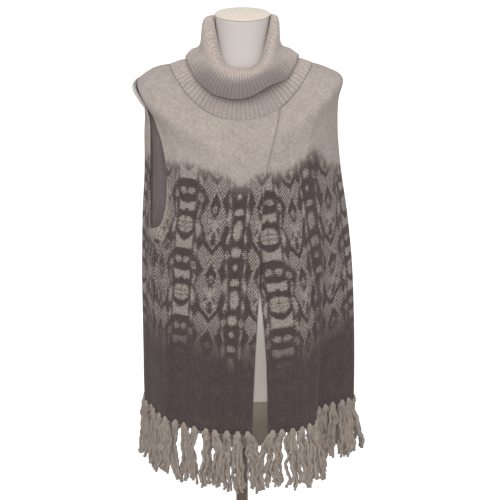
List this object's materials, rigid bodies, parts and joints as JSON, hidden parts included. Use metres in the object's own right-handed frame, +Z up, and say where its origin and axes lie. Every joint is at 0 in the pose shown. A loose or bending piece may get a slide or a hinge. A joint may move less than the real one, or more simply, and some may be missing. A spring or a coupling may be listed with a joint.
{
  "type": "knitted poncho sweater on a limbless dress form",
  "caption": "Sleeveless knitted poncho sweater with a folded rib cowl collar, overlapping split front and knotted fringe hem, worn by a limbless dress form on a pole and round base.",
  "frame": {"origin": "centre of the base plate's underside, on the floor", "axes": "+Z up along the pole, the garment's front faces -Y, the overlapping front lies on the -X side"},
  "size_m": [0.4787, 0.38, 1.4092],
  "materials": {
    "body_knit": "fine-gauge melange knit, light taupe over dark brown-grey",
    "rib_knit": "soft melange rib knit",
    "fringe_yarn": "thick fuzzy yarn",
    "form_jersey": "smooth white jersey over foam",
    "form_taupe_cloth": "matt taupe cloth",
    "cap_wood": "pale, satin",
    "stand_metal": "dark brown satin paint"
  },
  "bodies": {
    "root": {"front_over": "body_knit", "front_under": "body_knit", "back": "body_knit", "cowl_collar": "rib_knit", "fringe_over": "fringe_yarn", "fringe_under": "fringe_yarn", "fringe_back": "fringe_yarn", "form_torso": "form_jersey", "form_lower_section": "form_taupe_cloth", "form_cap": "cap_wood", "form_pole": "stand_metal", "form_base": "stand_metal"}
  },
  "joints": []
}
